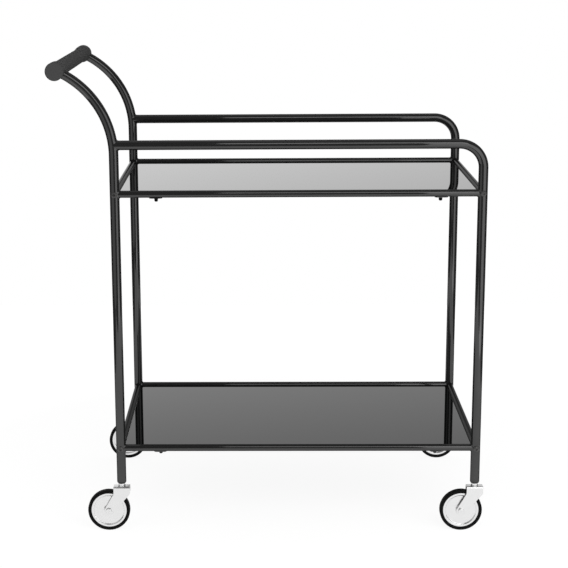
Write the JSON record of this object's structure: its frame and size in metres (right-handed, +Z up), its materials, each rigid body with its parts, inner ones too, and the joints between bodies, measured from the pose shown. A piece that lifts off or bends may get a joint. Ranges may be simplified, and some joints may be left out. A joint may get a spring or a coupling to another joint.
{
  "type": "bar cart",
  "caption": "Two-tier bar cart: black tubular steel frame with dark glass shelves, low guard rails, a raised curved push handle and swivel castors.",
  "frame": {"origin": "on the floor, under the centre of the cart's box", "axes": "+X along the cart away from the handle, +Y across it, +Z up"},
  "size_m": [0.7322, 0.4, 0.8141],
  "materials": {
    "frame_lacquer": "gloss black lacquer on steel tube",
    "black_glass": "black tempered glass, polished",
    "pad_rubber": "matt black rubber",
    "plain_steel": "zinc plated steel",
    "black_bolt": "black finished steel",
    "grip_lacquer": "turned wood with a matt black lacquer",
    "plug_plastic": "moulded black plastic",
    "castor_chrome": "bright plated pressed steel",
    "wheel_chrome": "bright plated wheel disc",
    "bush_plastic": "moulded white bearing plastic",
    "tyre_rubber": "black rubber"
  },
  "bodies": {
    "frame": {"front_handle_post": "frame_lacquer", "front_guard_post": "frame_lacquer", "back_handle_post": "frame_lacquer", "back_guard_post": "frame_lacquer", "top_front_rail": "frame_lacquer", "top_back_rail": "frame_lacquer", "top_left_rail": "frame_lacquer", "top_right_rail": "frame_lacquer", "top_glass": "black_glass", "top_glass_tabs": "frame_lacquer", "top_glass_pads": "pad_rubber", "lower_front_rail": "frame_lacquer", "lower_back_rail": "frame_lacquer", "lower_left_rail": "frame_lacquer", "lower_right_rail": "frame_lacquer", "lower_glass": "black_glass", "lower_glass_tabs": "frame_lacquer", "lower_glass_pads": "pad_rubber", "rail_end_nuts": "plain_steel", "frame_bolts": "black_bolt", "grip": "grip_lacquer", "grip_grub_screws": "black_bolt", "front_left_post_plug": "plug_plastic", "front_left_stem": "castor_chrome", "front_right_post_plug": "plug_plastic", "front_right_stem": "castor_chrome", "back_left_post_plug": "plug_plastic", "back_left_stem": "castor_chrome", "back_right_post_plug": "plug_plastic", "back_right_stem": "castor_chrome"},
    "front_left_castor": {"front_left_thrust_washer": "castor_chrome", "front_left_fork": "castor_chrome", "front_left_axle": "castor_chrome", "front_left_axle_nut": "castor_chrome"},
    "front_left_wheel_set": {"front_left_bush": "bush_plastic", "front_left_wheel": "wheel_chrome", "front_left_tyre": "tyre_rubber"},
    "front_right_castor": {"front_right_thrust_washer": "castor_chrome", "front_right_fork": "castor_chrome", "front_right_axle": "castor_chrome", "front_right_axle_nut": "castor_chrome"},
    "front_right_wheel_set": {"front_right_bush": "bush_plastic", "front_right_wheel": "wheel_chrome", "front_right_tyre": "tyre_rubber"},
    "back_left_castor": {"back_left_thrust_washer": "castor_chrome", "back_left_fork": "castor_chrome", "back_left_axle": "castor_chrome", "back_left_axle_nut": "castor_chrome"},
    "back_left_wheel_set": {"back_left_bush": "bush_plastic", "back_left_wheel": "wheel_chrome", "back_left_tyre": "tyre_rubber"},
    "back_right_castor": {"back_right_thrust_washer": "castor_chrome", "back_right_fork": "castor_chrome", "back_right_axle": "castor_chrome", "back_right_axle_nut": "castor_chrome"},
    "back_right_wheel_set": {"back_right_bush": "bush_plastic", "back_right_wheel": "wheel_chrome", "back_right_tyre": "tyre_rubber"}
  },
  "joints": [
    {"name": "front_left_swivel", "type": "hinge", "parent": "frame", "child": "front_left_castor", "pos_m": [-0.25913, -0.18, 0.0819], "axis": [0, 0, 1], "continuous": true},
    {"name": "front_left_wheel_spin", "type": "hinge", "parent": "front_left_castor", "child": "front_left_wheel_set", "pos_m": [-0.28213, -0.18, 0.0365], "axis": [0, 1, 0], "continuous": true},
    {"name": "front_right_swivel", "type": "hinge", "parent": "frame", "child": "front_right_castor", "pos_m": [0.35187, -0.18, 0.0819], "axis": [0, 0, 1], "continuous": true},
    {"name": "front_right_wheel_spin", "type": "hinge", "parent": "front_right_castor", "child": "front_right_wheel_set", "pos_m": [0.32887, -0.18, 0.0365], "axis": [0, 1, 0], "continuous": true},
    {"name": "back_left_swivel", "type": "hinge", "parent": "frame", "child": "back_left_castor", "pos_m": [-0.25913, 0.18, 0.0819], "axis": [0, 0, 1], "continuous": true},
    {"name": "back_left_wheel_spin", "type": "hinge", "parent": "back_left_castor", "child": "back_left_wheel_set", "pos_m": [-0.28213, 0.18, 0.0365], "axis": [0, 1, 0], "continuous": true},
    {"name": "back_right_swivel", "type": "hinge", "parent": "frame", "child": "back_right_castor", "pos_m": [0.35187, 0.18, 0.0819], "axis": [0, 0, 1], "continuous": true},
    {"name": "back_right_wheel_spin", "type": "hinge", "parent": "back_right_castor", "child": "back_right_wheel_set", "pos_m": [0.32887, 0.18, 0.0365], "axis": [0, 1, 0], "continuous": true}
  ]
}
